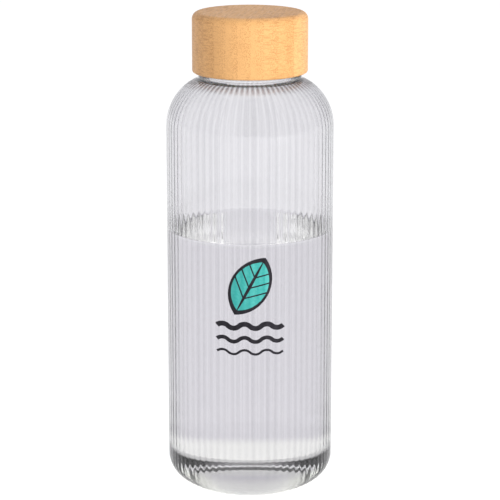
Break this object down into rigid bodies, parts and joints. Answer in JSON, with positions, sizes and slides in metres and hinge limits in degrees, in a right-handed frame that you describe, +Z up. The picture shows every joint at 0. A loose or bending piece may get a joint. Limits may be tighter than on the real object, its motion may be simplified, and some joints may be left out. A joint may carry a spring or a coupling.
{
  "type": "glass water bottle",
  "caption": "Tall ribbed clear glass water bottle with a round shoulder, a short threaded neck, a screw cap of turned bamboo with a lined and sealed inside, and a small front print.",
  "frame": {"origin": "centre of the ring that the bottle stands on", "axes": "+Z up along the bottle's axis, -Y towards the printed front, +X to the right of someone facing the print"},
  "size_m": [0.085, 0.0851, 0.2456],
  "materials": {
    "glass": "clear glass with moulded vertical ribs",
    "teal_ink": "satin screen-printed ink",
    "dark_ink": "satin screen-printed ink",
    "silicone": "translucent white silicone",
    "liner_plastic": "natural white polypropylene",
    "bamboo": "turned laminated bamboo, fine sanded and lightly oiled"
  },
  "bodies": {
    "bottle": {"glass_bottle": "glass", "teal_ink": "teal_ink", "dark_ink": "dark_ink"},
    "seal": {"seal_ring": "silicone"},
    "cap": {"bamboo_cap": "bamboo", "cap_liner": "liner_plastic"}
  },
  "joints": [
    {"name": "cap_rise", "type": "slide", "parent": "bottle", "child": "seal", "axis": [0, 0, 1], "range_m": [0, 0.02401]},
    {"name": "cap_turn", "type": "hinge", "parent": "seal", "child": "cap", "pos_m": [0, 0, 0.225], "axis": [0, 0, 1], "range_deg": [0, 1440]}
  ],
  "couplings": [
    {"joint": "cap_rise", "follows": "cap_turn", "m_per_rad": 0.00095493}
  ]
}
